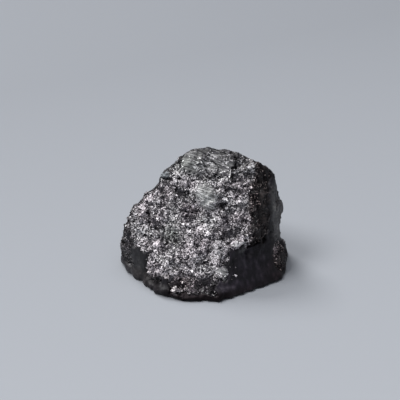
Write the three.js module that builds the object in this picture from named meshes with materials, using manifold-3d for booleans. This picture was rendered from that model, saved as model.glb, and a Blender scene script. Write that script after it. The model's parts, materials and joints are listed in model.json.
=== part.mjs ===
import * as THREE from "three";
import { mergeVertices } from "three/addons/utils/BufferGeometryUtils.js";
import { ImprovedNoise } from "three/addons/math/ImprovedNoise.js";
import Module from "manifold-3d";

// A lump of tanzanite-bearing rock as it was broken out of the ground. The front is a fresh,
// granular break; the sides are smooth, dark joint faces along which the rock parted. It grew
// as one piece and rests on a flat patch of its underside. Millimetres, +Z up, front towards -Y.

const HEART = new THREE.Vector3(0, 2.5, 11); // a point well inside, seen from all over the surface
const DETAIL = 22; // splits of each edge of the icosahedron: 20 * (DETAIL + 1)^2 triangles

const STONE = { name: "raw_stone", color: 0x6f6c70, roughness: 0.45, metalness: 0.1 };

// ---- the broken faces ---------------------------------------------------------------------
// A face looks outwards. facing: the way it looks, in degrees from the front towards the
// right. lean: how far it looks upwards, in degrees. at: a point of it, in mm. grain: 1 for a
// fresh granular break, 0 for a smooth joint.

// Faces that bound the whole stone.
const ALL_ROUND = [
  { facing: -3, lean: 28, at: [0.5, -13.9, 1.5], grain: 1 }, // the front break, lower half
  { facing: 2, lean: 31.5, at: [2, -4.9, 18.3], grain: 1 }, // its upper half
  { facing: 4, lean: 46, at: [3, -1, 25.5], grain: 1 }, // below the crest
  { facing: -22, lean: 30, at: [-12.9, -8.4, 7.1], grain: 1 }, // where it turns to the left
  { facing: -52, lean: -8, at: [-11.5, -10.9, 0], grain: 0 }, // foot of the front
  { facing: -20, lean: -16, at: [-6.2, -13.4, 0], grain: 0 },
  { facing: -2, lean: -12, at: [0.5, -14.5, 0], grain: 0 },
  { facing: 45, lean: 22, at: [11.1, -7.2, 13.6], grain: 0.6 }, // dark right flank
  { facing: 140, lean: 10, at: [10, 9.5, 8], grain: 0 }, // rear joints
  { facing: 182, lean: 14, at: [0, 13.5, 8], grain: 0.8 },
  { facing: 228, lean: 12, at: [-9.5, 9, 8], grain: 0 },
  { facing: 172, lean: 37, at: [1, 8.6, 20.5], grain: 1 }, // fresh break high on the rear
];

// Faces of each block; the blocks are one with each other.
const TOWER = [
  { facing: -151, lean: 54, at: [-1.6, 1.5, 27.8], grain: 1 }, // crest, left of the peak
  { facing: 159, lean: 55, at: [3.4, 1.5, 27.9], grain: 1 }, // crest, right of the peak
  { facing: 132, lean: 47, at: [8.2, 1.5, 27.1], grain: 0.6 },
  { facing: 147, lean: 52, at: [11.1, 1.5, 24.7], grain: 0.4 },
  { facing: 111, lean: 34, at: [13.8, 1.5, 23.4], grain: 0 }, // right shoulder
  { facing: 96, lean: 15, at: [15.45, 1, 19.7], grain: 0 },
  { facing: 88, lean: 3, at: [16.35, 1, 12], grain: 0 }, // right wall
  { facing: 66, lean: 11, at: [14.2, -3.5, 15], grain: 0 }, // its front strip
  { facing: -121, lean: 41, at: [-6.6, 1.1, 24.6], grain: 1 }, // upper left slope
  { facing: -35, lean: 36, at: [-7.2, -1.7, 22.3], grain: 1 },
  { facing: -100, lean: 12, at: [-9.8, 0.5, 20.4], grain: 0 }, // wall above the notch
];

const SHOULDER = [
  { facing: -100, lean: 70, at: [-11.5, 0.3, 17.3], grain: 1 }, // ledge at the notch
  { facing: -116, lean: 36, at: [-14.6, 0.1, 15], grain: 1 }, // sloping top
  { facing: -103, lean: 25, at: [-16.6, -0.4, 12], grain: 0.8 },
  { facing: -96, lean: 12, at: [-17.9, -0.5, 8.1], grain: 0.3 }, // left wall
  { facing: -84, lean: -2, at: [-18.6, -0.9, 4.2], grain: 0 },
  { facing: -66, lean: -14, at: [-17.4, -3.2, 0.3], grain: 0 }, // undercut
  { facing: 90, lean: 0, at: [0, 0, 8], grain: 0 },
];

const REAR_LOBE = [
  { facing: 112, lean: 40, at: [17.3, 0.4, 5.3], grain: 0.5 },
  { facing: 95, lean: 12, at: [18.2, -0.6, 3.8], grain: 0.5 },
  { facing: 78, lean: -9, at: [18.3, -1.6, 1.6], grain: 0.5 },
  { facing: 60, lean: 6, at: [17.1, -5.2, 0], grain: 0.5 },
  { facing: 40, lean: 64, at: [15.6, -4, 5.4], grain: 0.5 },
  { facing: -90, lean: 0, at: [6, 0, 4], grain: 0 },
];

const KNOB = [
  { facing: 92, lean: 4, at: [16.85, 1, 14.2], grain: 0 },
  { facing: 100, lean: 52, at: [16.2, 1, 15.7], grain: 0 },
  { facing: 94, lean: -24, at: [16.7, 1, 12.6], grain: 0 },
  { facing: 52, lean: 5, at: [16.5, -0.7, 14.6], grain: 0 },
  { facing: 140, lean: 0, at: [16.3, 3, 15], grain: 0 },
  { facing: -90, lean: 0, at: [10, 0, 15], grain: 0 },
];

const CHIP = [
  { facing: -108, lean: 68, at: [-11.9, 0.3, 18.3], grain: 0 },
  { facing: -100, lean: 20, at: [-13.1, 0.3, 17.3], grain: 0 },
  { facing: -20, lean: 12, at: [-12, -0.8, 17], grain: 0 },
  { facing: 170, lean: 10, at: [-12, 1.6, 17], grain: 0 },
  { facing: 90, lean: 45, at: [-11.3, 0.3, 18.3], grain: 0 },
  { facing: 0, lean: -80, at: [-12, 0, 15.5], grain: 0 },
];

// Bites: what broke out of the whole. Each takes away all that lies outside every wall of it.
const BITES = [
  [ // low on the right, back to a big smooth joint, under an overhang
    { facing: 32, lean: 18, at: [13.1, -8.75, 0], grain: 0 },
    { facing: 36, lean: -60, at: [10, -7.4, 10.6], grain: 0.5 },
  ],
  [ // low on the left, back to a smooth joint, above the foot
    { facing: -45, lean: 1, at: [-14.1, -7.2, 0], grain: 0 },
    { facing: -87, lean: 65, at: [-9.5, -12.2, 1.5], grain: 0 },
  ],
  [ // the granular break beside it, above the ledge of the foot
    { facing: -30, lean: 7, at: [-11.6, -9.7, 2.8], grain: 1 },
    { facing: -87, lean: 65, at: [-9.5, -12.2, 1.5], grain: 0 },
  ],
  [ // low on the left of the rear, under an overhang
    { facing: 220, lean: 3, at: [-11.2, 5.6, 3], grain: 0.7 },
    { facing: 225, lean: -56, at: [-11.2, 6.4, 6.6], grain: 0.3 },
  ],
  [ // on the right of the rear, above a ledge
    { facing: 127, lean: 15, at: [12.2, 8.5, 14.6], grain: 0.2 },
    { facing: 140, lean: 68, at: [11.8, 9, 12], grain: 0.7 },
  ],
];

// ---- lumps, hollows and the break itself --------------------------------------------------
// Single lumps and hollows. across: half the width in mm; rise: mm out of the face.
const LUMPS = [
  { at: [0.3, -3.8, 20.2], across: 2.8, rise: 0.85 }, // pale, worn hump high on the front
  { at: [2.2, -2.2, 22.5], across: 1.7, rise: -0.5 }, // hollow above it
  { at: [4.9, -4.2, 19.4], across: 1.8, rise: -0.55 }, // hollow beside it
  { at: [7.4, -4.9, 18.2], across: 1.7, rise: 0.6 }, // ledge beyond that
  { at: [5.8, -0.6, 25], across: 1.3, rise: -0.6 }, // dip below the crest
  { at: [-1.8, -5.2, 17.5], across: 1.2, rise: -0.7 }, // pits under the hump
  { at: [1.5, -6.2, 16.2], across: 1.1, rise: -0.5 },
  { at: [-4.3, -3.9, 19.8], across: 1.3, rise: -0.7 },
  { at: [4.6, -8.4, 12.4], across: 1.9, rise: -0.9 }, // hollow above the right joint
  { at: [6.9, -9.3, 10.4], across: 1.1, rise: 0.5 }, // pale cluster on its corner
  { at: [-7.4, -7.6, 12.1], across: 2.4, rise: -0.6 }, // shallow worn patch on the left
  { at: [-8.8, 0.4, 22.4], across: 1.6, rise: -0.4 }, // glassy facet on the upper left
  { at: [-10.2, -10.3, 4.7], across: 1.3, rise: 0.6 }, // cluster low on the left
  { at: [-5.5, -13.4, 1.9], across: 1.1, rise: 0.5 }, // grain standing out of the foot
  { at: [-3, -11.3, 7], across: 3, rise: 0.6 }, // swell of the lower break
  { at: [12.2, -5.6, 14.6], across: 2.2, rise: -0.7 }, // hollow in the right flank
  { at: [12.4, -2.6, 20.5], across: 1.4, rise: -0.5 },
  { at: [-0.1, 1.5, 28.3], across: 2.2, rise: -0.55 }, // the peak, worn down
  { at: [-10.7, 0.6, 19], across: 1.3, rise: -0.8 }, // notch on the left
  { at: [-6, 12, 14], across: 3, rise: -1 }, // rear
  { at: [5, 13, 6], across: 3, rise: 0.8 },
];

const SWELL = { across: 6.5, rise: 0.55 }; // mm, the slow unevenness of a break
const CHUNKS = { across: 2.7, rise: 0.42, tilt: 0.26 }; // flat-faced chunks it parts along
const RIPPLE = { across: 6, rise: 0.14 }; // what unevenness a smooth joint has

// ---- shape of the stone -------------------------------------------------------------------

const radians = THREE.MathUtils.degToRad;

function plane({ facing, lean, at, grain }) {
  const level = Math.cos(radians(lean));
  const normal = new THREE.Vector3(
    Math.sin(radians(facing)) * level,
    -Math.cos(radians(facing)) * level,
    Math.sin(radians(lean)),
  );
  return { normal, level: normal.dot(new THREE.Vector3(...at)), grain };
}

const allRound = ALL_ROUND.map(plane);
const blocks = [TOWER, SHOULDER, REAR_LOBE, KNOB, CHIP].map((faces) => faces.map(plane));
const bites = BITES.map((faces) => faces.map(plane));

// The face of some that rules at p: the one p is furthest outside of, or least.
function ruling(p, planes, sign) {
  let best = { beyond: -Infinity * sign };
  for (const face of planes) {
    const beyond = face.normal.dot(p) - face.level;
    if ((beyond - best.beyond) * sign > 0) best = { beyond, face };
  }
  return best;
}

// The face that bounds the stone near p, and how far p is beyond it in mm (negative inside).
function nearestFace(p) {
  let best = { beyond: Infinity };
  for (const planes of blocks) {
    const of = ruling(p, planes, 1);
    if (of.beyond < best.beyond) best = of;
  }
  const round = ruling(p, allRound, 1);
  if (round.beyond > best.beyond) best = round;
  for (const planes of bites) {
    const of = ruling(p, planes, -1);
    if (of.beyond > best.beyond) best = of;
  }
  return best;
}

const OUTSIDE = 30; // mm from the heart, clear of the stone everywhere
const STRIDE = 0.5;

// The point of the stone in this direction from its heart, and the face it lies on.
function surfaceTowards(direction) {
  const p = new THREE.Vector3();
  const look = (r) => nearestFace(p.copy(HEART).addScaledVector(direction, r));
  let inner = OUTSIDE;
  while (inner > STRIDE && look(inner).beyond > 0) inner -= STRIDE;
  let outer = inner + STRIDE;
  for (let i = 0; i < 14; i++) {
    const middle = (inner + outer) / 2;
    if (look(middle).beyond > 0) outer = middle;
    else inner = middle;
  }
  const { face } = look(inner);
  return { point: p.clone(), face };
}

const noise = new ImprovedNoise();
const smooth = (p, across, seed) => noise.noise(p.x / across + seed, p.y / across, p.z / across);

// A number from 0 to 1 that belongs to a cell of space.
function lot(i, j, k, which) {
  let h = Math.imul(i, 374761393) ^ Math.imul(j, 668265263) ^ Math.imul(k, 2147483647);
  h = Math.imul(h ^ (which * 974634777), 1274126177);
  h = Math.imul(h ^ (h >>> 15), 2246822519);
  return ((h ^ (h >>> 13)) >>> 0) / 4294967296;
}

// How far the chunk that p belongs to stands out there: each chunk has a flat, tilted face.
function chunkAt(p) {
  const cell = p.clone().divideScalar(CHUNKS.across);
  const home = cell.clone().floor();
  const middle = new THREE.Vector3();
  let nearest = Infinity;
  let out = 0;
  for (let n = 0; n < 27; n++) {
    const i = home.x + (n % 3) - 1;
    const j = home.y + (Math.floor(n / 3) % 3) - 1;
    const k = home.z + Math.floor(n / 9) - 1;
    middle.set(i + lot(i, j, k, 1), j + lot(i, j, k, 2), k + lot(i, j, k, 3)).sub(cell);
    if (middle.length() >= nearest) continue;
    nearest = middle.length();
    const slope = new THREE.Vector3(lot(i, j, k, 4), lot(i, j, k, 5), lot(i, j, k, 6));
    const tilt = slope.subScalar(0.5).dot(middle) * 2 * CHUNKS.tilt * CHUNKS.across;
    out = (lot(i, j, k, 7) - 0.5) * CHUNKS.rise + tilt;
  }
  return out;
}

// How far the surface stands out of its face at p, in mm, where the break is this fresh.
function relief(p, grain) {
  let out = smooth(p, RIPPLE.across, 7) * RIPPLE.rise;
  out += (smooth(p, SWELL.across, 0) * SWELL.rise + chunkAt(p)) * grain;
  for (const { at, across, rise } of LUMPS) {
    const away = p.distanceTo(new THREE.Vector3(...at)) / across;
    out += rise * Math.exp(-away * away);
  }
  return out;
}

// Directions all round, moved so that the edges between faces run along edges of the mesh.
function directionsAlongEdges(sphere) {
  const position = sphere.getAttribute("position");
  const index = sphere.index.array;
  const directions = [];
  for (let i = 0; i < position.count; i++) {
    directions.push(new THREE.Vector3().fromBufferAttribute(position, i).normalize());
  }
  const faces = directions.map((d) => surfaceTowards(d).face);
  const moves = new Map();
  const between = (a, b, t) => directions[a].clone().lerp(directions[b], t).normalize();
  const offer = (vertex, share, to, beside) => {
    if (moves.has(vertex) && moves.get(vertex).share <= share) return;
    moves.set(vertex, { share, to, beside });
  };
  for (let i = 0; i < index.length; i++) {
    const a = index[i];
    const b = index[i % 3 === 2 ? i - 2 : i + 1];
    if (a > b || faces[a] === faces[b]) continue;
    let low = 0;
    let high = 1;
    for (let k = 0; k < 10; k++) {
      const middle = (low + high) / 2;
      if (surfaceTowards(between(a, b, middle)).face === faces[a]) low = middle;
      else high = middle;
    }
    if (low < 0.5) offer(a, low, between(a, b, low), faces[b]);
    else offer(b, 1 - low, between(a, b, low), faces[a]);
  }
  const grains = faces.map((face) => face.grain);
  for (const [vertex, { to, beside }] of moves) {
    directions[vertex].copy(to);
    grains[vertex] = Math.min(grains[vertex], beside.grain);
  }
  return { directions, grains };
}

function stoneGeometry() {
  const sphere = new THREE.IcosahedronGeometry(1, DETAIL);
  sphere.deleteAttribute("normal");
  sphere.deleteAttribute("uv");
  const geometry = mergeVertices(sphere, 1e-5);
  const position = geometry.getAttribute("position");
  const { directions, grains } = directionsAlongEdges(geometry);
  directions.forEach((direction, i) => {
    const { point } = surfaceTowards(direction);
    position.setXYZ(i, point.x, point.y, point.z);
  });
  geometry.computeVertexNormals();
  const normal = geometry.getAttribute("normal");
  const p = new THREE.Vector3();
  const out = new THREE.Vector3();
  for (let i = 0; i < position.count; i++) {
    p.fromBufferAttribute(position, i);
    out.fromBufferAttribute(normal, i);
    p.addScaledVector(out, relief(p, grains[i]));
    position.setXYZ(i, p.x, p.y, p.z);
  }
  return geometry;
}

// ---- cut flat at the ground ---------------------------------------------------------------

const wasm = await Module();
wasm.setup();

function solid(geometry) {
  return new wasm.Manifold(
    new wasm.Mesh({
      numProp: 3,
      vertProperties: new Float32Array(geometry.getAttribute("position").array),
      triVerts: new Uint32Array(geometry.index.array),
    }),
  );
}

function geometryOf(made) {
  const mesh = made.getMesh();
  const geometry = new THREE.BufferGeometry();
  geometry.setAttribute("position", new THREE.BufferAttribute(mesh.vertProperties, 3));
  geometry.setIndex(new THREE.BufferAttribute(mesh.triVerts, 1));
  return geometry;
}

function ground() {
  const box = new THREE.BoxGeometry(80, 80, 40);
  box.deleteAttribute("normal");
  box.deleteAttribute("uv");
  return mergeVertices(box.translate(0, 0, -20));
}

const geometry = geometryOf(solid(stoneGeometry()).subtract(solid(ground())));
geometry.computeBoundingBox();
const centre = geometry.boundingBox.getCenter(new THREE.Vector3());
geometry.translate(-centre.x, -centre.y, -geometry.boundingBox.min.z);
geometry.computeVertexNormals();

const stone = new THREE.Mesh(
  geometry,
  new THREE.MeshStandardMaterial({
    color: STONE.color,
    roughness: STONE.roughness,
    metalness: STONE.metalness,
    flatShading: true,
  }),
);
stone.name = STONE.name;

const part = new THREE.Group();
part.add(stone);
export default part;
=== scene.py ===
import json
import math
import random

import bmesh
import bpy
import numpy as np
from mathutils import Matrix, Vector, noise

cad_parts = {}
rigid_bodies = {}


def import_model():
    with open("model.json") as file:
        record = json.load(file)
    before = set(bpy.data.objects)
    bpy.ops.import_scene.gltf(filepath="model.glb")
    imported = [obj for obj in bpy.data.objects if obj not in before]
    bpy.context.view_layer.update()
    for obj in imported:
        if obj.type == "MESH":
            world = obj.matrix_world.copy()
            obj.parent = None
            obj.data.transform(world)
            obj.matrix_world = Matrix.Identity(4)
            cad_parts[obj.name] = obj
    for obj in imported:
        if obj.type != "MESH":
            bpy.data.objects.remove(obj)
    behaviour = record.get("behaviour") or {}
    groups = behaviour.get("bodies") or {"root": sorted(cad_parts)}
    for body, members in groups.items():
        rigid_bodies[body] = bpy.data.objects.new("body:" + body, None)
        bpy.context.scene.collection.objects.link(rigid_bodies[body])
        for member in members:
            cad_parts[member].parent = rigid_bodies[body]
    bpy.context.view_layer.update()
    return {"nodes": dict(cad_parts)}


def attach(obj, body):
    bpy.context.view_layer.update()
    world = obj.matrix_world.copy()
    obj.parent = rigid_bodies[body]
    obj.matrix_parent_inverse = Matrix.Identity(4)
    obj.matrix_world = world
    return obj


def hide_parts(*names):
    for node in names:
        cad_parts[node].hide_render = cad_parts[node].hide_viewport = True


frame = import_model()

# ---- The rock -----------------------------------------------------------------------------------
# A lump of graphite gneiss, the rock that tanzanite grows in, broken from the seam by hand. Its
# front, crest and rear strip are fresh granular breaks, and its sides parted along flat joints
# coated with graphite. This piece is the joint faces, and the rock between the crystals.

MM = 0.001
SKIN = 0.22  # how small the faces of the rock are (mm), which is about a small grain

# The joint faces: the way each one looks (degrees from the front towards the right), its lean
# upwards (degrees), a point of it (mm) and the heights it runs between (mm).
JOINTS = [
    (-45, 1, (-14.2, -7.8, 0), 0, 10.4), (-52, -8, (-11.6, -11.5, 0), 0, 2.5),
    (-20, -16, (-6.3, -14.0, 0), 0, 1.2), (-2, -12, (0.4, -15.1, 0), 0, 0.8),
    (-87, 65, (-9.6, -12.8, 1.5), 0, 3), (32, 18, (13.0, -9.4, 0), 0, 11),
    (-66, -14, (-17.5, -3.8, 0.3), 0, 2.5), (-100, 12, (-9.9, -0.1, 20.4), 20, 24),
    (111, 34, (13.7, 0.9, 23.4), 20, 27), (96, 15, (15.3, 0.4, 19.7), 10, 26),
    (88, 3, (16.2, 0.4, 12), 4, 20), (66, 11, (14.1, -4.1, 15), 3, 24),
    (92, 4, (16.7, 0.4, 14.2), 11, 17), (140, 10, (9.9, 8.9, 8), 0, 22),
    (228, 12, (-9.6, 8.4, 8), 0, 20), (228, -10, (-11.9, 4.5, 3.2), 0, 6),
    (127, 15, (12.1, 7.9, 14.6), 6, 24),
]
FLANK = (45, 22, (11.0, -7.8, 13.6), 9, 26)  # the dark, rough side of the tower beside the front
# Older breaks along the crest and down the left, which the weather has worn smoother.
WORN = [
    (-151, 54, (-1.7, 0.9, 27.8), 20, 30), (159, 55, (3.3, 0.9, 27.9), 20, 30),
    (132, 47, (8.1, 0.9, 27.1), 18, 30), (147, 52, (11.0, 0.9, 24.7), 18, 30),
    (-121, 41, (-6.7, 0.5, 24.6), 20, 28), (-116, 36, (-14.7, -0.5, 15), 8, 20),
    (-103, 25, (-16.7, -1.0, 12), 6, 18),
]
FOLIATION = np.array((0.94, -0.22, -0.25))  # the way the grains and bands of the rock lie


def step(x, low, high):
    """0 below low and 1 above high, with a smooth rise between, or a sharp one where they meet."""
    t = np.clip((x - low) / np.maximum(high - low, 1e-9), 0, 1)
    return t * t * (3 - 2 * t)


def on_face(points, normals, face, ragged):
    """How surely each point (mm) lies on a face: 1 on it and 0 off it, over a ragged edge."""
    turn, lean, at, lowest, highest = face
    turn, lean = math.radians(turn), math.radians(lean)
    level = math.cos(lean)
    normal = np.array((math.sin(turn) * level, -math.cos(turn) * level, math.sin(lean)))
    off = np.abs((points - np.array(at)) @ normal) + ragged
    height = points[:, 2] + 2 * ragged
    between = step(height, lowest - 0.8, lowest - 0.2) * (1 - step(height, highest, highest + 0.6))
    return (1 - step(off, 0.35, 0.6)) * step(normals @ normal, 0.55, 0.8) * between


def noise_at(points, across, seed):
    """Smooth noise, -1 to 1; across is how far apart its swells are (mm), or one for each axis.

    Each seed reads another part of the noise.
    """
    shift = Vector((seed * 17.3, seed * 5.1, seed * 29.7))
    return np.array([noise.noise(Vector(p) + shift) for p in points / np.array(across)])


def spots(points, places):
    """Soft spots, each a place (mm), how far it reaches (mm) and its strength."""
    total = np.zeros(len(points))
    for place, reach, strength in places:
        away = (points - np.array(place)) / np.array(reach)
        total += strength * np.exp(-(away ** 2).sum(axis=1))
    return total


def cracks(points, lines):
    """1 along each crack and 0 beside it; a crack is its places in order (mm)."""
    nearest = np.full(len(points), np.inf)
    for line in lines:
        for start, end in zip(np.array(line[:-1]), np.array(line[1:])):
            along = ((points - start) @ (end - start) / ((end - start) ** 2).sum()).clip(0, 1)
            away = np.linalg.norm(points - start - along[:, None] * (end - start), axis=1)
            nearest = np.minimum(nearest, away)
    return 1 - step(nearest, 0.2, 0.7)


def read(data, key, size=3, kind=np.float32):
    """A part of a mesh as rows of values, such as the places of its vertices."""
    values = np.empty(len(data) * size, kind)
    data.foreach_get(key, values)
    return values.reshape(-1, size)


def move(mesh, points):
    """Moves a mesh's vertices to the points (mm)."""
    mesh.vertices.foreach_set("co", (points * MM).astype(np.float32).ravel())
    mesh.update()


def keep(mesh, name, values):
    """Keeps one number for each vertex under a name, which nodes read."""
    attribute = mesh.attributes.new(name, "FLOAT", "POINT")
    attribute.data.foreach_set("value", np.asarray(values, np.float32))


def as_plain_mesh(piece):
    """What a piece's modifiers make of it, as a plain mesh; the modifiers are taken off."""
    graph = bpy.context.evaluated_depsgraph_get()
    made = bpy.data.meshes.new_from_object(piece.evaluated_get(graph))
    piece.modifiers.clear()
    return made


def fine_skin():
    """The CAD solid as one closed mesh of small even faces."""
    mesh = frame["nodes"]["raw_stone"].data.copy()
    shaped = bmesh.new()
    shaped.from_mesh(mesh)
    bmesh.ops.remove_doubles(shaped, verts=shaped.verts, dist=1e-6)
    shaped.to_mesh(mesh)
    shaped.free()
    mesh.materials.clear()
    rock = bpy.data.objects.new("rock", mesh)
    bpy.context.scene.collection.objects.link(rock)
    remesh = rock.modifiers.new("fine", "REMESH")
    remesh.mode = "VOXEL"
    remesh.voxel_size = SKIN * MM
    rock.data = as_plain_mesh(rock)
    return rock


def spread_out(edges, values, times):
    """Takes the mean of each value and those of the points next to it, this many times."""
    for _ in range(times):
        total, count = values.copy(), np.ones(len(values))
        for one, other in ((0, 1), (1, 0)):
            np.add.at(total, edges[:, one], values[edges[:, other]])
            np.add.at(count, edges[:, one], 1)
        values = (total.T / count).T
    return values


rock = fine_skin()
points = read(rock.data.vertices, "co").astype(float) / MM
normals = read(rock.data.vertex_normals, "vector").astype(float)
edges = read(rock.data.edges, "vertices", 2, np.int32)
x, y, z = points.T

# How sharply each place stands out (mm): above 0 on the arrises, below 0 in the corners.
arris = ((points - spread_out(edges, points, 6)) * normals).sum(axis=1)

# The joints. Their coating has broken away in spots, along the left rim, on the rough flank beside
# the smooth strip, and along the lower edge behind.
ragged = 0.25 * noise_at(points, 1.6, 1) + 0.14 * noise_at(points, 0.6, 4)
joint = np.max([on_face(points, normals, face, ragged) for face in JOINTS], axis=0)
joint = joint * (1 - spots(points, [
    ((-11.2, -10.6, 4.8), (1.9, 2.2, 2.8), 1.6), ((6.9, -10.0, 10.5), (1.8, 1.2, 0.9), 1.6),
    ((16.3, -4.6, 4.2), (1.8, 2.6, 3.4), 1.5), ((-15.4, -6.2, 9.4), (1.3, 1.4, 1.7), 1.6),
    ((4.0, -12.8, 5.2), (0.9, 1.2, 1.8), 1.5)]).clip(0, 1))
rim = x + 0.6 * noise_at(points, 1.4, 38) + 1.2 * noise_at(points, 3.0, 43)
rim = 1 - step(rim + 0.25 * (z - 6) * (z > 6), -16.5, -15.9)
joint = joint * (1 - rim * (y < 0) * step(z, 2.0, 2.8))
beside_strip = 1 - step(x + 0.3 * noise_at(points, (1, 1, 2.5), 39), 12.9, 13.3)
beside_strip = beside_strip * (y < -1) * step(x, 8, 9)
joint = joint * (1 - beside_strip * step(z + 0.5 * noise_at(points, 1.0, 40), 8.6, 9.2))
lower_edge = 1 - step(z + 1.8 * noise_at(points, 2.6, 42), 8.4, 9.2)
joint = joint * (1 - (x < -3) * (y > 2) * step(z, 6.6, 7.4) * lower_edge)

# Other large parts: the tower's rough flank, the worn crest, the dark side right of the front
# with its facets and cavities, the lobe and the foot.
flank = on_face(points, normals, FLANK, ragged - 0.5) * (1 - joint)
weathered = np.max([on_face(points, normals, face, ragged) for face in WORN], axis=0) * (1 - joint)
dark_side = x + 0.5 * noise_at(points, 1.2, 15) + 0.8 * noise_at(points, 3.5, 28)
dark_side = step(dark_side - 0.9 * step(z, 20, 25), 9.1, 10.5) * (y < 1) * step(z, 7, 8.5)
facets = noise_at(points, (1.1, 1.1, 3.8), 31) + 0.3 * noise_at(points, 0.6, 32)
# The cavities are sunk in and also painted darker, which is painted shade in the hollows.
cavities = dark_side * (1 - joint) * (1 - step(facets, -0.45, -0.25))
facets = dark_side * step(facets, 0.2, 0.35)
lobe = spots(points, [((16.8, -2.5, 3), (3, 4, 4), 1.6)]).clip(0, 1) * (1 - joint)
foot = 1 - step(z + 0.8 * noise_at(points, 2, 8), 2.2, 4.2)

# Glassy chips, and massive zoisite: fine-grained, streaked, and nearly without crystals.
glassy = spots(points, [
    ((-8.6, -1.0, 22.7), (1.1, 1.0, 0.8), 2.0), ((-12.1, -0.4, 18.2), (0.9, 1.2, 0.6), 1.4)])
glassy = step(glassy, 0.6, 0.9)
massive = spots(points, [
    ((1.6, -0.8, 26.0), (4.4, 2.4, 2.9), 1.5), ((-3.2, -1.2, 25.4), (2.4, 1.8, 2.0), 0.9),
    ((-0.1, -5.2, 20.3), (2.4, 2, 2.5), 1.2), ((1.0, -5.8, 17.9), (1.6, 1.5, 1.4), 0.8),
    ((7.2, -10.0, 10.8), (1.9, 1.2, 0.9), 1.6), ((3.4, -12.5, 5.6), (1.2, 1.2, 1.3), 1.4)])
massive = step(massive + 0.4 * noise_at(points, 0.9, 35), 0.35, 0.6) * (1 - step(y, 0.8, 1.6))

# Fresh breaks, where crystals stand: each layer of crystals needs a share of this.
fresh = ((1 - 0.5 * facets) * (1 - step(joint, 0.3, 0.85)) * (1 - glassy) * (1 - 0.34 * weathered)
         * (1 - 0.3 * dark_side))
fresh = fresh * step(z + 0.6 * noise_at(points, 1.5, 24), 0.6, 1.6) * (1 - 0.32 * lobe)

# Patches of the fresh breaks: places are in mm, and so is how far each one reaches.
pale = spots(points, [
    ((-0.3, -5.2, 20.2), (2.1, 2, 2.2), 1.0), ((1.0, -5.6, 17.8), (1.4, 1.5, 1.3), 0.6),
    ((-1.2, -3.4, 21.8), (1.8, 1.5, 0.9), 0.5), ((7.4, -5.4, 19.2), (2.2, 1.5, 0.8), 0.5),
    ((1.2, -6.8, 15.3), (2.6, 1.4, 1.0), 0.3)])
green = spots(points, [
    ((-7.5, -8.2, 12.1), (2.4, 2, 2.0), 1.0), ((-4.5, -0.8, 25.6), (3.6, 2, 1.8), 0.9),
    ((0.0, -5.0, 19.5), (1.8, 2, 2.4), 0.6)])
# White and bright call for clusters of pale crystals, which stand partly for pale grains and partly
# for painted glints.
white = spots(points, [
    ((7.0, -10.0, 10.8), (1.8, 1.2, 0.9), 1.6), ((-10.1, -11.7, 5.2), (1.3, 1.2, 1.2), 1.1),
    ((-5.8, -14.1, 2.0), (1.3, 1.0, 0.7), 1.5), ((9.7, -1.5, 25.0), (0.6, 0.7, 0.5), 1.0),
    ((1.1, -0.4, 26.3), (1.2, 0.7, 0.45), 1.0), ((-2.0, -1.9, 24.6), (0.8, 0.8, 0.6), 0.9),
    ((-11.9, -0.9, 18.0), (0.9, 0.8, 0.6), 0.8), ((-2.3, -5.5, 18.3), (0.7, 0.7, 0.9), 0.7),
    ((-6.2, -2.4, 22.7), (1.2, 1.0, 0.9), 0.5), ((17.0, -3.2, 5.9), (0.6, 0.6, 0.4), 1.6)])
white += 0.8 * step(noise_at(points, 2.3, 29), 0.48, 0.54) * (z < 20) * (z > 3) * (1 - lobe)
bright = spots(points, [
    ((-13.6, -5.8, 11.5), (1.2, 1.6, 3.2), 0.55), ((-3.2, -9.8, 10.6), (1.8, 1.4, 1.3), 0.7),
    ((1.8, -10.9, 8.8), (1.6, 1.2, 1.5), 0.7), ((-1.5, -12.4, 5.9), (1.6, 1.2, 1.8), 0.8),
    ((-9.5, -11.2, 6.0), (2.0, 1.4, 2.0), 0.35), ((-5.5, -2.4, 22.9), (2.2, 1.5, 1.5), 0.8)])
# Dark patches sink into hollows, with darker crystals that are more often graphite: partly the
# rock's own dark patches and partly painted shade, as along the line under the crest's ledge.
dark = spots(points, [
    ((5.6, -8.5, 11.7), (2.1, 1.4, 1.0), 1.3), ((3.6, -5.9, 17.6), (0.9, 0.8, 0.6), 0.8),
    ((-1.7, -5.9, 17.2), (0.7, 0.7, 0.6), 0.9), ((-5.0, -4.0, 19.8), (1.4, 0.9, 0.8), 0.5),
    ((1.4, -6.7, 16.1), (0.6, 0.6, 0.5), 0.6), ((5.8, -1.8, 22.6), (2.6, 1.2, 0.5), 0.4),
    ((6.4, -1.0, 25.6), (0.8, 1, 1.6), 0.8), ((-7.9, -7.6, 10.7), (2.0, 1.5, 1.4), 0.5),
    ((-10.7, -6.0, 13.2), (0.9, 1, 1.2), 0.5), ((-5.8, -12.9, 3.6), (1.8, 1.2, 1.4), 0.6)])
coarse = spots(points, [((-9, -9, 8), (6, 5, 6), 1), ((0, -11, 6.5), (5, 4, 4), 0.9)]).clip(0, 1)
bent = 0.35 * np.stack([noise_at(points, 1.2, 20 + axis) for axis in range(3)], axis=1)
split = cracks(points + bent, [
    [(6.5, 0.0, 26.6), (6.5, -0.8, 25.6), (5.7, -1.8, 24.0), (6.1, -3.2, 22.4)],
    [(4.4, -4.1, 21.0), (5.9, -4.1, 20.5), (7.3, -4.5, 20.2)],
    [(2.7, -5.6, 18.4), (4.2, -5.5, 17.1)],
    [(-12.2, -3.3, 16.7), (-12.0, -4.3, 15.4), (-12.2, -5.1, 13.6)],
    [(-9.0, -1.4, 22.2), (-7.5, -2.0, 22.1)],
    [(-11.8, -10.2, 4.9), (-11.4, -10.8, 3.0), (-10.8, -11.1, 1.6)],
    [(-6.6, -3.3, 20.2), (-5.3, -3.7, 19.8), (-3.9, -4.0, 19.9)]])

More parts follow.
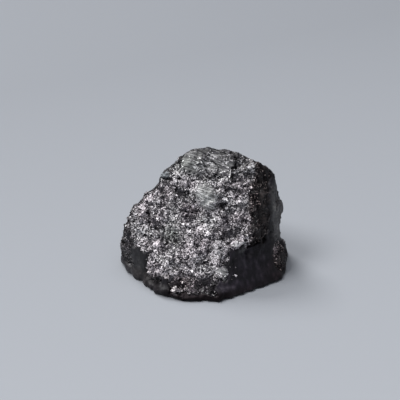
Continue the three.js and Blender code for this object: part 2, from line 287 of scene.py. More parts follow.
# Patches of the joints: a few grains left on the coating, a thin film in its place, and brown
# stain, which is on the lobe, the foot and the dark side too.
speckled = joint * spots(points, [
    ((5.2, -12.0, 4.0), (1.5, 1.6, 2.2), 1.0), ((3.6, -13.6, 2.0), (1.5, 1.5, 1.8), 1.2),
    ((8.3, -9, 8.8), (1, 1, 0.7), 1)])
speckled = speckled.clip(0, 1)
specks = spots(points, [
    ((5.6, -11.8, 5.6), (1.9, 1.6, 2.6), 1.5), ((7.6, -10.6, 6.8), (1.4, 1.4, 1.6), 0.9)])
specks = joint * step(specks.clip(0, 1) * (0.5 + noise_at(points, 0.75, 41)), 0.5, 0.62)
film = spots(points, [
    ((-15.5, -6.5, 4.5), (4, 4, 5), 1.0), ((-12.3, -10.0, 2.0), (2.6, 2.6, 2.4), 0.7),
    ((15.6, -3, 10), (1.8, 3, 7), 1.3), ((16.6, 0, 14.2), (1.5, 3, 2), 1.1),
    ((-8.5, -12.3, 2.0), (3, 2, 1.2), 0.9), ((15.5, -2, 20), (1.5, 3, 4), 1.0),
    ((8.0, -9.2, 9.0), (1.1, 1.0, 0.7), 1.9), ((-17.8, -2, 10), (1.5, 3, 4), 1.0),
    ((15.7, -5.2, 4.2), (1.2, 1.6, 1.8), 0.9), ((-15.2, -6.8, 5.2), (0.8, 0.8, 2.6), -0.5)])
strip = spots(points, [((15.2, -2.6, 12.5), (1.6, 2.6, 10), 1.3)])
bare = film.clip(0, 1) + 0.4 * strip.clip(0, 1)
brown = spots(points, [
    ((14.6, -7.4, 2.0), (3, 3, 2.6), 1.0), ((17, -3.5, 3), (3, 4, 5), 1.0),
    ((-12.8, -9, 1.5), (3, 3, 2), 0.7), ((7, -12.5, 0.5), (4, 3, 1), 0.8),
    ((-5.0, -13.0, 3.0), (3.5, 2, 1.6), 0.6)]).clip(0, 1)
brown = np.maximum(brown, dark_side * (1 - joint))

# Hollows, swells and pits of the fresh breaks (mm, outwards). Bands are streaks along the
# foliation, which shows where the break ran along it.
broad = noise_at(points, 2.8, 2)
middle = noise_at(points, 1.2, 3)
grooves = noise_at(points, (1.0, 1.0, 4.0), 9)
bands = noise_at(points - 0.85 * (points @ FOLIATION)[:, None] * FOLIATION, 0.55, 21)
banded = spots(points, [
    ((2.0, -1.2, 25.6), (3.8, 2.5, 2.8), 1.3), ((-0.5, -5, 19.8), (2, 2, 2.2), 0.6),
    ((5, -8, 13), (3, 2, 1.5), 0.6)]).clip(0, 1)
pits = step(noise_at(points, 1.5, 12), 0.3, 0.5) * fresh * (1 - flank) * (1 - weathered)
small_pits = step(noise_at(points, 0.7, 33), 0.35, 0.5) * fresh * (1 - weathered)
beside = spread_out(edges, joint, 8)
relief = ((0.36 * broad + 0.22 * middle) * (1 - beside) - 0.2 - 0.25 * step(beside, 0.05, 0.5)
          - 0.5 * pits - 0.3 * small_pits - 0.5 * dark - 0.45 * split + 0.2 * banded * bands)
relief = ((1 - 0.95 * massive) * fresh * (1 - 0.6 * flank) * (1 - 0.7 * pale.clip(0, 1))
          * (1 - 0.5 * weathered) * relief)
relief += (0.5 * (1 - 0.8 * joint) * dark_side * grooves * (1 + 0.6 * middle)
           + 0.12 * massive * bands + 0.25 * facets - 0.5 * cavities - 0.2 * glassy)

# Single knobs and notches of the outline, and the foot, which flares towards the front.
relief += spots(points, [
    ((0.65, 1.0, 28.6), (0.8, 1.0, 0.6), -0.3), ((-1.7, 0.6, 27.7), (1.8, 1.6, 1.4), 0.45),
    ((-15.3, -2.6, 15.3), (2.2, 2, 2.2), 0.35), ((6.6, 1.0, 26.7), (3.0, 1.5, 1.5), 0.7),
    ((2.0, 1.2, 28.0), (2.0, 1.5, 1.2), 0.25), ((12.3, 1.0, 24.4), (1.8, 1.8, 1.4), -0.35),
    ((-11.3, 1.6, 17.8), (1.6, 1.8, 1.4), -0.8), ((-9.7, 0.0, 22.4), (1.0, 2, 0.9), 0.35),
    ((18.0, -2.5, 4.2), (1.0, 2, 1.2), -0.5), ((16.3, 0.5, 17.4), (1, 2, 1.2), -0.35)])
right_foot = step(x, 4, 7)
flare = ((0.55 + 0.25 * (x > -5)) * (1 - step(z, 1.2, 3.0)) * (1 - right_foot)
         + right_foot * (1 - z / 5.5).clip(0, 1))
facing_front = (-1.3 * normals[:, 1] - 0.2).clip(0, 1)
relief += flare * facing_front * step(x, -18.6, -17.2) * (1 - step(x, 17, 18.5))

# Ripples, pockets and chipped arrises of the joints, and the crumbled edge over the right one.
pockets = spots(points, [
    ((9.2, -8.6, 7.6), (1.1, 1, 0.9), 1.1), ((6.2, -11.2, 7.0), (0.4, 1, 1.4), 0.5)])
crumbly = spots(points, [((11.0, -8.0, 8.0), (3.2, 2.4, 1.4), 1.2)]).clip(0, 1)
chips = -0.5 * step(arris, 0.02, 0.1) * step(noise_at(points, 0.9, 10), 0.0, 0.5)
ripple = (0.07 * noise_at(points, (1.2, 1.2, 3.5), 11) + 0.1 * bare * noise_at(points, 0.9, 25)
          + chips - pockets + 0.35 * crumbly * noise_at(points, 0.6, 34))

# The underside stays flat; the edge that it stands on is worn and chipped.
points = points + normals * ((relief + joint * ripple) * step(z, 0.0, 0.3))[:, None]
worn = (1 - (z / 0.4).clip(0, 1)) * (0.35 + 0.2 * noise_at(points, 2.2, 14))
chipped = 0.45 * (1 - step(z, 0.6, 2.4)) * noise_at(points, (1.7, 1.7, 3.5), 37)
points[:, :2] -= normals[:, :2] * (worn + chipped)[:, None]

# Shade is how much lighter or darker each patch of crystals is: mostly the patches' own tone, with
# painted shade in the dark band under the crest's ledge. Dim is where few are light.
shade = spots(points, [
    ((-3.6, -1.7, 25.6), (2.2, 1.5, 1.6), 0.14), ((-2.8, -2.4, 23.8), (1.8, 1.5, 1.2), 0.14),
    ((0.8, -1.4, 25.4), (3.5, 2, 2), 0.14), ((-0.4, -4.6, 21.4), (2.0, 1.5, 1.2), -0.02),
    ((0.4, -5.6, 19.0), (2.2, 1.5, 1.6), 0.22), ((6.5, -5.2, 19.2), (3.0, 2, 1.0), 0.1),
    ((3.9, -2.6, 23.2), (2.2, 1.5, 1.1), -0.14), ((0.6, -2.7, 22.9), (2.2, 1.0, 0.5), -0.14),
    ((9.0, -3.1, 22.1), (1.3, 2, 2.5), -0.3), ((9.0, -6.6, 16.5), (1.0, 3, 4.5), -0.08),
    ((6.0, -6.0, 17.0), (3.0, 3, 3.2), 0.1), ((7.4, -9.1, 12.3), (2.2, 1.5, 1.1), -0.3),
    ((-0.3, -8.4, 13.5), (1.7, 1.5, 1.2), -0.2), ((-11.4, -7.7, 10.5), (1.7, 1.5, 1.5), -0.16),
    ((-9.6, -9.8, 7.8), (1.7, 1.5, 1.3), -0.1), ((-6.8, -12.0, 6.1), (2.0, 1.5, 1.3), -0.2),
    ((0.6, -13.7, 2.7), (2.0, 1.5, 1.4), -0.4), ((-6.2, -9.6, 10.2), (1.5, 1.5, 1.2), -0.14),
    ((-8.5, -3.0, 19.6), (1.4, 1.2, 1.3), -0.1), ((4.4, -12.0, 6.6), (1.0, 1.5, 2.3), -0.3),
    ((7.7, -0.4, 26.2), (2, 1.5, 1), -0.1), ((-15.0, -3.0, 14.8), (2.2, 2, 2.0), -0.2),
    ((-11.8, -1.0, 17.8), (1.3, 1.2, 1.0), 0.5), ((7.0, -10.0, 10.8), (1.7, 1.2, 0.9), 0.9),
    ((17.1, -3.3, 5.9), (0.9, 1.0, 0.7), 0.35), ((-3.6, -14.8, 1.5), (2.6, 1.5, 1.3), -0.2),
    ((3.4, -12.5, 5.6), (1.2, 1.2, 1.3), 0.4)])
dim = spots(points, [
    ((2.6, -14.0, 2.4), (1.9, 1.8, 1.8), 1.0), ((9.4, -7.4, 12.6), (2.4, 2, 1.7), 1.0),
    ((-0.8, -13.9, 2.2), (6.0, 1.8, 1.5), 1.3), ((8.9, -5.0, 17.0), (0.9, 2, 4.0), 0.3)]).clip(0, 1)
# Painted shade along the front of the foot, where the stone meets the floor.
painted_foot_shade = ((1 - step(z + 0.7 * noise_at(points, 1.6, 36), 1.0, 2.3)) * (1 - step(y, -6, -2))
        * step(x, -12, -9) * (1 - 0.7 * step(x, 4, 6)))
left_rim = (1 - step(x + 0.5 * noise_at(points, 1.2, 18), -16.2, -14.8)) * (1 - step(z, 10, 14))
crest = step(z, 18, 25)
# Painted shade on the top behind the crest, where the light from behind would otherwise make it
# bright.
painted_shade_behind_crest = step(y, 0.2, 0.8) * step(z, 21, 24)
dull_foot = 0.8 * foot * step(x, -10, -7) * (1 - white.clip(0, 1))
uneven = 0.4 * dark_side * noise_at(points, (1.0, 1.0, 2.4), 27)

# What the crystals read: how light they are, and how many are pale (sparkle) or graphite (gloom).
# The pale ones stand partly for pale grains and partly for painted glints. The darkening behind the
# crest is painted shade, and the extra graphite in pits and dark hollows is partly painted shade.
tone = (uneven + shade + 0.34 * pale + 0.08 * bright - 0.05 * crest
        - (0.46 - 0.34 * step(z, 15, 19)) * dark_side - 0.5 * lobe - 0.25 * foot
        - 0.12 * dark - 0.2 * split - 0.36 * left_rim - 0.3 * speckled + 0.1 * specks
        - 0.3 * weathered + 0.5 * banded * bands - 0.22 * dim - 0.35 * painted_shade_behind_crest)
sparkle = (0.22 + 1.0 * noise_at(points, 3.0, 5) + 0.6 * noise_at(points, 1.3, 6)
           + 0.7 * noise_at(points, 0.8, 22) + bright - 0.25 * crest - foot + white + 0.4 * specks
           - 0.6 * green - 0.8 * pale - dark - split - 0.75 * dark_side - left_rim
           - 0.4 * weathered - 0.8 * dim - lobe).clip(0, 1)
gloom = (0.22 + 0.8 * noise_at(points, 2.4, 16) + 0.6 * noise_at(points, 1.1, 17)
         + 0.6 * noise_at(points, 0.7, 23) + 0.1 * crest + 0.8 * foot + dark + split + 0.7 * pits
         + 0.7 * small_pits + 0.4 * dim + 0.8 * dark_side - white - 0.6 * pale - 0.5 * bright
         + 0.2 * weathered)
pink = (0.5 + 0.9 * noise_at(points, 3.5, 19) - green - 0.5 * crest).clip(0, 1)
calm = (0.9 * pale + 0.4 * green + 0.5 * left_rim).clip(0, 0.9)
aligned = step(noise_at(points, 4, 26), -0.2, 0.2)
unruly = (1 - 0.85 * banded - 0.3 * pale - 0.35 * aligned).clip(0.15, 1)

marks = {
    "joint": joint, "fresh": np.max([fresh, 0.8 * speckled, 0.69 * specks], axis=0), "tone": tone,
    "green": green, "calm": calm, "sparkle": sparkle, "gloom": gloom.clip(0, 1), "pink": pink,
    "unruly": unruly, "massive": massive, "banded": banded,
    "bare": np.maximum(bare * joint, 0.7 * facets), "glassy": glassy,
    "dull": np.max([dark_side, weathered, dull_foot, 0.8 * lobe], axis=0),
    # foot holds painted shade: near-black along the foot, and half as dark in the cavities.
    "foot": np.maximum(painted_foot_shade, 0.5 * cavities), "white": white.clip(0, 1), "coarse": coarse,
    "brown": brown, "arris": step(arris, 0.02, 0.12),
}
for name, values in marks.items():
    keep(rock.data, name, values)
move(rock.data, points)

# The crystals grow on this surface, and the rock between them lies a little lower.
broken = rock.data.copy()
normals = read(rock.data.vertex_normals, "vector").astype(float)
sink = 0.24 + 0.10 * noise_at(points, 0.5, 7)
sink = fresh * (1 - 0.6 * flank) * (1 - 0.75 * massive) * sink
move(rock.data, points - normals * sink[:, None])
rock.data.polygons.foreach_set("use_smooth", [True] * len(rock.data.polygons))


def linear(hex_colour):
    """An sRGB hex colour as the linear one that shaders take."""
    parts = [int(hex_colour[i:i + 2], 16) / 255 for i in (1, 3, 5)]
    return (*[c / 12.92 if c <= 0.04045 else ((c + 0.055) / 1.055) ** 2.4 for c in parts], 1)


def add(tree, kind, inputs=None, stops=(), **settings):
    """Adds a node with its settings and links.

    Inputs go by name or number, and each is a value, an output, or a node, for the first output
    that it has in use. On a Mix node 0 is the factor, 2 and 3 are its two values, and 6 and 7 its
    two colours. Stops are the places and colours of a colour ramp.
    """
    made = tree.nodes.new(kind)
    for name, value in settings.items():
        setattr(made, name, value)
    for name, value in (inputs or {}).items():
        if isinstance(value, bpy.types.Node):
            value = next(output for output in value.outputs if output.enabled)
        if isinstance(value, bpy.types.NodeSocket):
            tree.links.new(value, made.inputs[name])
        else:
            made.inputs[name].default_value = value
    if stops:
        elements = made.color_ramp.elements
        while len(elements) < len(stops):
            elements.new(0.5)
        for element, (place, colour) in zip(elements, stops):
            element.position = place
            element.color = linear(colour)
    return made


def new_material(name):
    """An empty material and its node tree."""
    material = bpy.data.materials.new(name)
    material.use_nodes = True
    material.node_tree.nodes.clear()
    return material, material.node_tree


FRONT = Vector((0, -0.75, 0.66))  # the way that the front break looks


def seamed(tree, where):
    """Thin seams along the foliation, 0 to 1, 8 times as wide as thick and 16 times as long.

    Real ones are as thin as a sheet of graphite. They are 0.22 mm here, about as fine as shows.
    """
    along = Vector(FOLIATION).normalized()
    through = FRONT.cross(along).normalized()
    lie = Matrix((along, through.cross(along), through)).transposed().to_euler()
    sheets = add(tree, "ShaderNodeMapping", {
        "Vector": where, "Rotation": tuple(lie), "Scale": (16, 8, 1)}, vector_type="TEXTURE")
    return add(tree, "ShaderNodeTexNoise", {
        "Vector": sheets, "Scale": 1 / (0.22 * MM), "Detail": 1.0})


def graphite_gneiss():
    """Graphite gneiss, split and broken: satin near-black joints, dark dull rock between grains.

    The graphite was smeared down the joints as they slipped, which leaves faint upright streaks.
    """
    material, tree = new_material("graphite_gneiss")
    where = add(tree, "ShaderNodeTexCoord").outputs["Object"]
    joint, brown, arris, bare, glassy, foot, massive, tone, green = [
        add(tree, "ShaderNodeAttribute", attribute_name=name).outputs["Fac"]
        for name in ("joint", "brown", "arris", "bare", "glassy", "foot", "massive", "tone",
                     "green")]

    # The coating of the joints, mottled 5 mm wide and streaked 1 mm wide.
    fine = add(tree, "ShaderNodeTexNoise", {
        "Vector": where, "Scale": 1 / (0.5 * MM), "Detail": 4.0})
    broad = add(tree, "ShaderNodeTexNoise", {
        "Vector": where, "Scale": 1 / (5 * MM), "Detail": 6.0, "Roughness": 0.6})
    upright = add(tree, "ShaderNodeMapping", {"Vector": where, "Scale": (1.0, 1.0, 0.35)})
    streaks = add(tree, "ShaderNodeTexNoise", {
        "Vector": upright, "Scale": 1 / (1.0 * MM), "Detail": 4.0})
    mottled = add(tree, "ShaderNodeMix", {0: 0.45, 2: broad, 3: streaks})
    coating = add(tree, "ShaderNodeValToRGB", {0: mottled}, stops=[
        (0.36, "#060507"), (0.49, "#130f16"), (0.57, "#27222a"), (0.67, "#48434b")])

    # The rock between the crystals, and massive zoisite: grey, in thin seams. Its grit is finer
    # than shows, so it is drawn 0.2 mm wide.
    between = add(tree, "ShaderNodeValToRGB", {0: fine}, stops=[
        (0.35, "#0b0a0b"), (0.65, "#252325")])
    grit = add(tree, "ShaderNodeTexNoise", {
        "Vector": where, "Scale": 1 / (0.2 * MM), "Detail": 3.0})
    lit = tone
    for pattern, strength in ((seamed(tree, where), 2.0), (grit, 1.4)):
        lit = add(tree, "ShaderNodeMath", {0: pattern, 1: strength, 2: lit},
                  operation="MULTIPLY_ADD")
    lit = add(tree, "ShaderNodeMapRange", {"Value": lit, "From Min": 0.95, "From Max": 2.5})
    grey = add(tree, "ShaderNodeValToRGB", {0: lit}, stops=[
        (0.0, "#171616"), (0.3, "#484747"), (0.5, "#727171"), (0.75, "#a3a2a2"), (1.0, "#f0efef")])
    grey = add(tree, "ShaderNodeMix", {0: green, 6: grey, 7: linear("#eaf0ea")},
               data_type="RGBA", blend_type="MULTIPLY")
    between = add(tree, "ShaderNodeMix", {0: massive, 6: between, 7: grey}, data_type="RGBA")
    colour = add(tree, "ShaderNodeMix", {0: joint, 6: between, 7: coating}, data_type="RGBA")

    # Rubbed arrises, and the thin grey film that is left where the coating came off.
    rubbed = add(tree, "ShaderNodeMath", {0: arris, 1: fine}, operation="MULTIPLY")
    colour = add(tree, "ShaderNodeMix", {0: rubbed, 6: colour, 7: linear("#3f3d41")},
                 data_type="RGBA")
    film = add(tree, "ShaderNodeMix", {0: 0.4, 2: mottled, 3: fine})
    barer = add(tree, "ShaderNodeMath", {0: bare, 1: 0.5, 2: -0.89}, operation="MULTIPLY_ADD")
    film = add(tree, "ShaderNodeMath", {0: film, 1: 2.0, 2: barer}, operation="MULTIPLY_ADD")
    film = add(tree, "ShaderNodeValToRGB", {0: film}, stops=[
        (0.3, "#1b1a1c"), (0.5, "#383738"), (0.62, "#494849"), (0.8, "#535252"), (1.0, "#7c7a78")])
    colour = add(tree, "ShaderNodeMix", {0: bare, 6: colour, 7: film}, data_type="RGBA")

    # Glassy chips, pale and mottled, partly their own colour and partly a painted sheen; brown
    # stain; and painted shade along the front of the foot and in the cavities of the dark side,
    # near-black and too black to shine.
    # The glassy chips are pale and mottled, partly their own colour and partly a painted sheen.
    painted_sheen = add(tree, "ShaderNodeValToRGB", {0: fine}, stops=[
        (0.4, "#282a2d"), (0.55, "#686c70"), (0.65, "#8c9094")])
    colour = add(tree, "ShaderNodeMix", {0: glassy, 6: colour, 7: painted_sheen}, data_type="RGBA")
    colour = add(tree, "ShaderNodeMix", {0: brown, 6: colour, 7: linear("#f2dcd4")},
                 data_type="RGBA", blend_type="MULTIPLY")
    colour = add(tree, "ShaderNodeMix", {0: foot, 6: colour, 7: linear("#1c1719")},
                 data_type="RGBA")
    shineless = add(tree, "ShaderNodeMath", {0: foot, 1: 0.8}, operation="MULTIPLY")

    # The paler the coating, the more the joints shine. The bump is the coating's streaks and
    # specks, or the seams of the massive zoisite.
    rough = add(tree, "ShaderNodeMapRange", {
        "Value": mottled, "From Min": 0.35, "From Max": 0.65, "To Min": 0.65, "To Max": 0.42})
    height = add(tree, "ShaderNodeMath", {0: fine, 1: streaks}, operation="ADD")
    height = add(tree, "ShaderNodeMix", {0: massive, 2: height, 3: lit})
    bump = add(tree, "ShaderNodeBump", {
        "Strength": 0.6, "Distance": 0.1 * MM, "Height": height})
    surface = add(tree, "ShaderNodeBsdfPrincipled", {
        "Base Color": colour, "Roughness": rough, "IOR": 1.4, "Metallic": shineless,
        "Normal": bump})
    add(tree, "ShaderNodeOutputMaterial", {"Surface": surface})
    return material


rock.data.materials.append(graphite_gneiss())
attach(rock, "root")
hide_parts("raw_stone")

# ---- The crystals of the fresh breaks -----------------------------------------------------------
# Feldspar, quartz, zoisite and graphite grown together. The break ran through and round them and
# left their cleavage faces bare. Each is a skewed block with some of its corners gone.


def block(name, seed, cuts, width, thickness):
    """One grain about 1 across: a skewed, cut-down block, flat-faced as cleavage leaves it."""
    draw = random.Random(seed)
    shaped = bmesh.new()
    bmesh.ops.create_cube(shaped, size=1)
    skew = Matrix.Identity(3)
    skew[0][1], skew[1][2] = draw.uniform(-0.4, 0.4), draw.uniform(-0.4, 0.4)
    sizes = Matrix.Diagonal((draw.uniform(1.0, 1.25), width * draw.uniform(0.75, 1.25),
                             thickness * draw.uniform(0.75, 1.25)))
    bmesh.ops.transform(shaped, matrix=(skew @ sizes).to_4x4(), verts=shaped.verts)
    for _ in range(cuts):
        way = Vector([draw.gauss(0, 1) for _ in range(3)]).normalized()
        reach = max(way.dot(v.co) for v in shaped.verts)
        cut = bmesh.ops.bisect_plane(
            shaped, geom=shaped.verts[:] + shaped.edges[:] + shaped.faces[:],
            plane_co=way * reach * draw.uniform(0.55, 0.8), plane_no=way, clear_outer=True)
        bmesh.ops.edgeloop_fill(
            shaped, edges=[e for e in cut["geom_cut"] if isinstance(e, bmesh.types.BMEdge)])
    bmesh.ops.recalc_face_normals(shaped, faces=shaped.faces)
    mesh = bpy.data.meshes.new(f"{name}_{seed}")
    shaped.to_mesh(mesh)
    shaped.free()
    return bpy.data.objects.new(mesh.name, mesh)


def block_kinds(name, cuts, width, thickness, first_seed):
    """Nine blocks of one kind, to pick from."""
    kinds = bpy.data.collections.new(name)
    for seed in range(first_seed, first_seed + 9):
        kinds.objects.link(block(name, seed, cuts, width, thickness))
    return kinds


blocks = block_kinds("blocks", 4, 0.72, 0.42, 0)
splinters = block_kinds("splinters", 2, 0.45, 0.3, 20)
laths = block_kinds("laths", 1, 0.16, 0.12, 30)

CROWD = 4.0e7  # how many places a square metre is tried in, which is more than have room


def scatter_crystals():
    """Sets crystals on the fresh breaks of a surface, some way into it."""
    tree = bpy.data.node_groups.new("scatter_crystals", "GeometryNodeTree")
    face = tree.interface
    for name, kind in {
            "Surface": "Geometry", "Spacing": "Float", "Smallest": "Float", "Largest": "Float",
            "Depth": "Float", "Tilt": "Float", "Least fresh": "Float", "Least white": "Float",
            "Least banded": "Float", "On massive": "Float", "Kinds": "Collection", "Seed": "Int",
            "Material": "Material"}.items():
        face.new_socket(name, in_out="INPUT", socket_type="NodeSocket" + kind)
    face.new_socket("Crystals", in_out="OUTPUT", socket_type="NodeSocketGeometry")
    given = add(tree, "NodeGroupInput").outputs
    fresh, white, banded, massive, unruly, coarse, calm = [
        add(tree, "GeometryNodeInputNamedAttribute", {"Name": name}, data_type="FLOAT")
        for name in ("fresh", "white", "banded", "massive", "unruly", "coarse", "calm")]

    # Where they grow, and how far in they stand.
    grows = add(tree, "FunctionNodeCompare", {0: fresh, 1: given["Least fresh"]},
                operation="GREATER_THAN")
    for mark, least in ((white, "Least white"), (banded, "Least banded")):
        enough = add(tree, "FunctionNodeCompare", {0: mark, 1: given[least]},
                     operation="GREATER_EQUAL")
        grows = add(tree, "FunctionNodeBooleanMath", {0: grows, 1: enough}, operation="AND")
    sparse = add(tree, "ShaderNodeMapRange", {
        "Value": massive, "To Min": 1.0, "To Max": given["On massive"]})
    spread = add(tree, "GeometryNodeDistributePointsOnFaces", {
        "Mesh": given["Surface"], "Selection": grows, "Density Factor": sparse,
        "Distance Min": given["Spacing"], "Density Max": CROWD, "Seed": given["Seed"]},
        distribute_method="POISSON").outputs
    back = add(tree, "ShaderNodeMath", {0: given["Depth"], 1: -1.0}, operation="MULTIPLY")
    down = add(tree, "ShaderNodeVectorMath", {0: spread["Normal"], "Scale": back},
               operation="SCALE")
    sunk = add(tree, "GeometryNodeSetPosition", {"Geometry": spread["Points"], "Offset": down})

    # How they lie: along the foliation where the rock is banded, and any way round elsewhere.
    laid = add(tree, "FunctionNodeAlignRotationToVector", {
        "Rotation": spread["Rotation"], "Vector": tuple(FOLIATION)}, axis="X", pivot_axis="Z")
    spin = add(tree, "ShaderNodeMath", {0: unruly, 1: math.pi}, operation="MULTIPLY")
    tilt = add(tree, "ShaderNodeMath", {0: unruly, 1: given["Tilt"]}, operation="MULTIPLY")
    most = add(tree, "ShaderNodeCombineXYZ", {0: tilt, 1: tilt, 2: spin})
    least = add(tree, "ShaderNodeVectorMath", {0: most, "Scale": -1.0}, operation="SCALE")
    wobble = add(tree, "FunctionNodeRandomValue", {0: least, 1: most, "Seed": 11},
                 data_type="FLOAT_VECTOR")
    turned = add(tree, "FunctionNodeRotateRotation", {0: laid, 1: wobble},
                 rotation_space="LOCAL")

    # How big they are: smaller at the edges of the fresh breaks and in the calm patches, and
    # bigger in the coarse ones.
    size = add(tree, "FunctionNodeRandomValue", {
        2: given["Smallest"], 3: given["Largest"], "Seed": 12}, data_type="FLOAT")
    at_edge = add(tree, "ShaderNodeMapRange", {
        "Value": fresh, "From Min": 0.5, "From Max": 1.0, "To Min": 0.5, "To Max": 1.0})
    lively = add(tree, "ShaderNodeMath", {0: coarse, 1: calm}, operation="SUBTRACT")
    growth = add(tree, "ShaderNodeMapRange", {
        "Value": lively, "From Min": -0.8, "From Max": 1.0, "To Min": 0.6, "To Max": 1.25})
    for share in (at_edge, growth):
        size = add(tree, "ShaderNodeMath", {0: size, 1: share}, operation="MULTIPLY")

    # Each crystal draws a lot, from which its lightness is worked out.
    kinds = add(tree, "GeometryNodeCollectionInfo", {
        "Collection": given["Kinds"], "Separate Children": True, "Reset Children": True})
    grown = add(tree, "GeometryNodeInstanceOnPoints", {
        "Points": sunk, "Instance": kinds, "Pick Instance": True, "Rotation": turned,
        "Scale": size})
    lot = add(tree, "FunctionNodeRandomValue", {2: 0.0, 3: 1.0, "Seed": 13}, data_type="FLOAT")
    kept = add(tree, "GeometryNodeStoreNamedAttribute", {
        "Geometry": grown, "Name": "lot", "Value": lot}, data_type="FLOAT", domain="INSTANCE")
    real = add(tree, "GeometryNodeRealizeInstances", {"Geometry": kept})
    coated = add(tree, "GeometryNodeSetMaterial", {
        "Geometry": real, "Material": given["Material"]})
    add(tree, "NodeGroupOutput", {"Crystals": coated})
    return tree


def cleaved_crystals():
    """Feldspar, quartz, lilac zoisite and graphite, cleaved along flat glassy faces.

    Each face is one clean shade with a gloss of its own, so the break glitters, and painted glints
    and painted dark gaps add to the glitter.
    """
    material, tree = new_material("cleaved_crystals")
    value, hue, metal, green, brown, pink, banded, sparkle, dull = [
        add(tree, "ShaderNodeAttribute", attribute_name=name).outputs["Fac"]
        for name in ("value", "hue", "metal", "green", "brown", "pink", "banded", "sparkle",
                     "dull")]
    where = add(tree, "ShaderNodeTexCoord").outputs["Object"]

    # Steps and chips of the cleavage, finer than shows and so drawn 0.22 mm wide: about one in
    # seven is a painted white glint where the patch sparkles, and one in eight a painted dark gap,
    # which is painted shade.
    chips = add(tree, "ShaderNodeTexVoronoi", {"Vector": where, "Scale": 1 / (0.22 * MM)})
    chip = add(tree, "ShaderNodeSeparateColor", {"Color": chips.outputs["Color"]}).outputs
    streaky = add(tree, "ShaderNodeMapRange", {
        "Value": seamed(tree, where), "From Min": 0.3, "From Max": 0.7, "To Min": -0.35,
        "To Max": 0.35}, clamp=False)
    painted_glint = add(tree, "ShaderNodeMapRange", {
        "Value": chip[1], "From Min": 0.84, "From Max": 0.88})
    painted_gap = add(tree, "ShaderNodeMapRange", {
        "Value": chip[2], "From Min": 0.15, "From Max": 0.1, "To Max": -0.5})
    mottle = add(tree, "ShaderNodeTexNoise", {
        "Vector": where, "Scale": 1 / (0.25 * MM), "Detail": 2.0})
    for pattern, strength in ((streaky, banded), (painted_glint, sparkle)):
        value = add(tree, "ShaderNodeMath", {0: pattern, 1: strength, 2: value},
                    operation="MULTIPLY_ADD")
    value = add(tree, "ShaderNodeMath", {0: painted_gap, 1: value}, operation="ADD")
    for pattern, strength in ((chip[0], 0.95), (mottle, 0.4)):
        value = add(tree, "ShaderNodeMath", {0: pattern, 1: strength, 2: value},
                    operation="MULTIPLY_ADD")
    value = add(tree, "ShaderNodeMath", {0: value, 1: 0.66}, operation="SUBTRACT")
    colour = add(tree, "ShaderNodeValToRGB", {0: value}, stops=[
        (0.0, "#0e0d0e"), (0.25, "#272526"), (0.5, "#524f50"), (0.75, "#807d7e"),
        (0.92, "#b6b2b4"), (1.0, "#e6e4e5")])

    # Graphite flakes, and the faint tints of the patches.
    graphite = add(tree, "ShaderNodeMix", {0: dull, 6: linear("#5b595d"), 7: linear("#242024")},
                   data_type="RGBA")
    colour = add(tree, "ShaderNodeMix", {0: metal, 6: colour, 7: graphite}, data_type="RGBA")
    for amount, tint in ((pink, "#fff6fb"), (green, "#eaf0ea"), (brown, "#eeded5")):
        colour = add(tree, "ShaderNodeMix", {0: amount, 6: colour, 7: linear(tint)},
                     data_type="RGBA", blend_type="MULTIPLY")
    rough = add(tree, "ShaderNodeMapRange", {"Value": hue, "To Min": 0.15, "To Max": 0.5})
    surface = add(tree, "ShaderNodeBsdfPrincipled", {
        "Base Color": colour, "Roughness": rough, "Metallic": metal, "IOR": 1.54})
    add(tree, "ShaderNodeOutputMaterial", {"Surface": surface})
    return material


def lightness(mesh, pale):
    """How light each crystal is, 0 to 1: mostly grey, with graphite and pale ones in clusters."""
    lot, tone, calm, sparkle, gloom, white, dull = [
        read(mesh.attributes[name].data, "value", 1)[:, 0]
        for name in ("lot", "tone", "calm", "sparkle", "gloom", "white", "dull")]
    hue = lot * 37 % 1  # a second lot, made from the first
    grey = 0.68 + (hue - 0.5) * (0.24 + 0.2 * dull) * (1 - calm) + tone
    pale_share = (0.03 + 0.5 * sparkle + 0.5 * white) * (1 - 0.7 * dull)
    black_share = (0.05 + 0.6 * gloom) * (1 - calm)
    if pale is not None:
        pale_share = np.full(len(lot), pale)
    pale_grain = step(lot, 1 - pale_share, 1 - 0.8 * pale_share) * (pale_share > 0.01)
    black_grain = 1 - step(lot, 0.8 * black_share, black_share + 1e-3)
    palest = 0.97 - 0.3 * dull
    keep(mesh, "value", grey * (1 - 0.75 * black_grain) + (palest - grey) * pale_grain)
    keep(mesh, "metal", 0.8 * black_grain)
    keep(mesh, "hue", hue)


scatter = scatter_crystals()
cleaved = cleaved_crystals()


def crystals(name, pale=None, **inputs):
    """A layer of crystals on the fresh breaks, as one plain mesh.

    Pale is the share of pale ones, 0 for none and 2 for nothing else; without it they come in the
    patches marked on the rock.
    """
    piece = bpy.data.objects.new(name, broken)
    bpy.context.scene.collection.objects.link(piece)
    modifier = piece.modifiers.new("scatter", "NODES")
    modifier.node_group = scatter
    sockets = {item.name: item.identifier for item in scatter.interface.items_tree}
    for key, value in inputs.items():
        modifier[sockets[key.replace("_", " ")]] = value
    piece.data = as_plain_mesh(piece)
    lightness(piece.data, pale)
    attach(piece, "root")


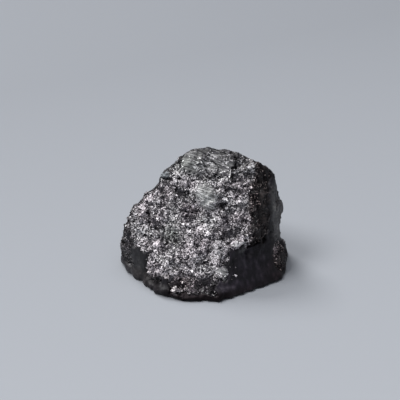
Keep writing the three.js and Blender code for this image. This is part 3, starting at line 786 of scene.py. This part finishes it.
crystals("coarse_crystals", Kinds=blocks, Seed=1, Material=cleaved, Least_fresh=0.9,
         Spacing=0.75 * MM, Smallest=0.8 * MM, Largest=1.2 * MM, Depth=0.28 * MM, Tilt=0.3,
         On_massive=0.0)
crystals("pale_flakes", 2.0, Kinds=blocks, Seed=4, Material=cleaved, Least_fresh=0.6,
         Spacing=0.95 * MM, Smallest=1.0 * MM, Largest=1.7 * MM, Depth=0.12 * MM, Tilt=0.3,
         On_massive=0.3, Least_white=0.55)
crystals("laths", 0.0, Kinds=laths, Seed=5, Material=cleaved, Least_fresh=0.6,
         Spacing=0.42 * MM, Smallest=1.0 * MM, Largest=1.8 * MM, Depth=0.04 * MM, Tilt=0.12,
         On_massive=0.4, Least_banded=0.35)
crystals("middling_crystals", Kinds=blocks, Seed=2, Material=cleaved, Least_fresh=0.7,
         Spacing=0.38 * MM, Smallest=0.42 * MM, Largest=0.75 * MM, Depth=0.18 * MM, Tilt=0.32,
         On_massive=0.1)
crystals("fine_crystals", Kinds=splinters, Seed=3, Material=cleaved, Least_fresh=0.6,
         Spacing=0.315 * MM, Smallest=0.3 * MM, Largest=0.65 * MM, Depth=0.07 * MM, Tilt=0.5,
         On_massive=0.15)
for kinds in (blocks, splinters, laths):
    bpy.data.batch_remove(list(kinds.objects))
    bpy.data.collections.remove(kinds)

# ---- Floor, light and camera --------------------------------------------------------------------
# The stone stands on a sheet of pale paper, in a dim room with a large soft light from the upper
# left, a smaller lamp beside it and a faint glow from the ceiling.


def pale_paper():
    """Uncoated paper, pressed smooth: matt and even, so shadows on it are soft and clear.

    It is painted a shade paler towards the front and darker towards the back left, standing in for
    the fall of the light.
    """
    material, tree = new_material("pale_paper")
    where = add(tree, "ShaderNodeTexCoord").outputs["Object"]
    # Painted light: the paper darkens towards the back left, as if the light fell off there.
    away = add(tree, "ShaderNodeVectorMath", {0: where, 1: (-0.65, 1.35, 0.0)},
               operation="DOT_PRODUCT")
    away = add(tree, "ShaderNodeMapRange", {"Value": away, "From Min": -0.1, "From Max": 0.15})
    paper = add(tree, "ShaderNodeValToRGB", {0: away}, stops=[(0.0, "#919499"), (1.0, "#808388")])
    surface = add(tree, "ShaderNodeBsdfPrincipled", {
        "Base Color": paper, "Roughness": 0.8, "IOR": 1.3})
    add(tree, "ShaderNodeOutputMaterial", {"Surface": surface})
    return material


bpy.ops.mesh.primitive_circle_add(vertices=96, radius=2, fill_type="NGON")
floor = bpy.context.object
floor.name = "floor"
floor.data.materials.append(pale_paper())

TARGET = Vector((-1.12, -0.63, 16.1)) * MM  # where the camera and the lights look
ELEVATION = math.radians(32)  # how far the camera looks down
DISTANCE = 0.24  # from there to the camera (m)
scene = bpy.context.scene


def soft_light(name, place, size, power, colour):
    """A round light, its place and size in metres and its power in watts."""
    data = bpy.data.lights.new(name, "AREA")
    data.shape = "DISK"
    data.size = size
    data.energy = power
    data.color = linear(colour)[:3]
    light = bpy.data.objects.new(name, data)
    light.location = place
    light.rotation_mode = "QUATERNION"
    light.rotation_quaternion = (TARGET - Vector(place)).to_track_quat("-Z", "Y")
    scene.collection.objects.link(light)


soft_light("window", (-0.52, 0.60, 1.12), 0.52, 14.0, "#ffffff")
soft_light("lamp", (-0.58, -0.16, 0.98), 0.48, 10.1, "#ffffff")
soft_light("ceiling", (0.0, -0.05, 0.60), 0.7, 1.96, "#fafbff")

world = bpy.data.worlds.new("dim_room")
world.use_nodes = True
world.node_tree.nodes["Background"].inputs["Color"].default_value = linear("#dfe4ee")
world.node_tree.nodes["Background"].inputs["Strength"].default_value = 0.196
scene.world = world
scene.view_settings.view_transform = "Standard"

camera = bpy.data.objects.new("camera", bpy.data.cameras.new("camera"))
camera.data.lens = 100
camera.data.sensor_width = 36
camera.data.clip_start = 0.01
camera.data.clip_end = 10
back = Vector((0, -math.cos(ELEVATION), math.sin(ELEVATION)))
camera.location = TARGET + back * DISTANCE
camera.rotation_mode = "QUATERNION"
camera.rotation_quaternion = (-back).to_track_quat("-Z", "Y")
scene.collection.objects.link(camera)
scene.camera = camera
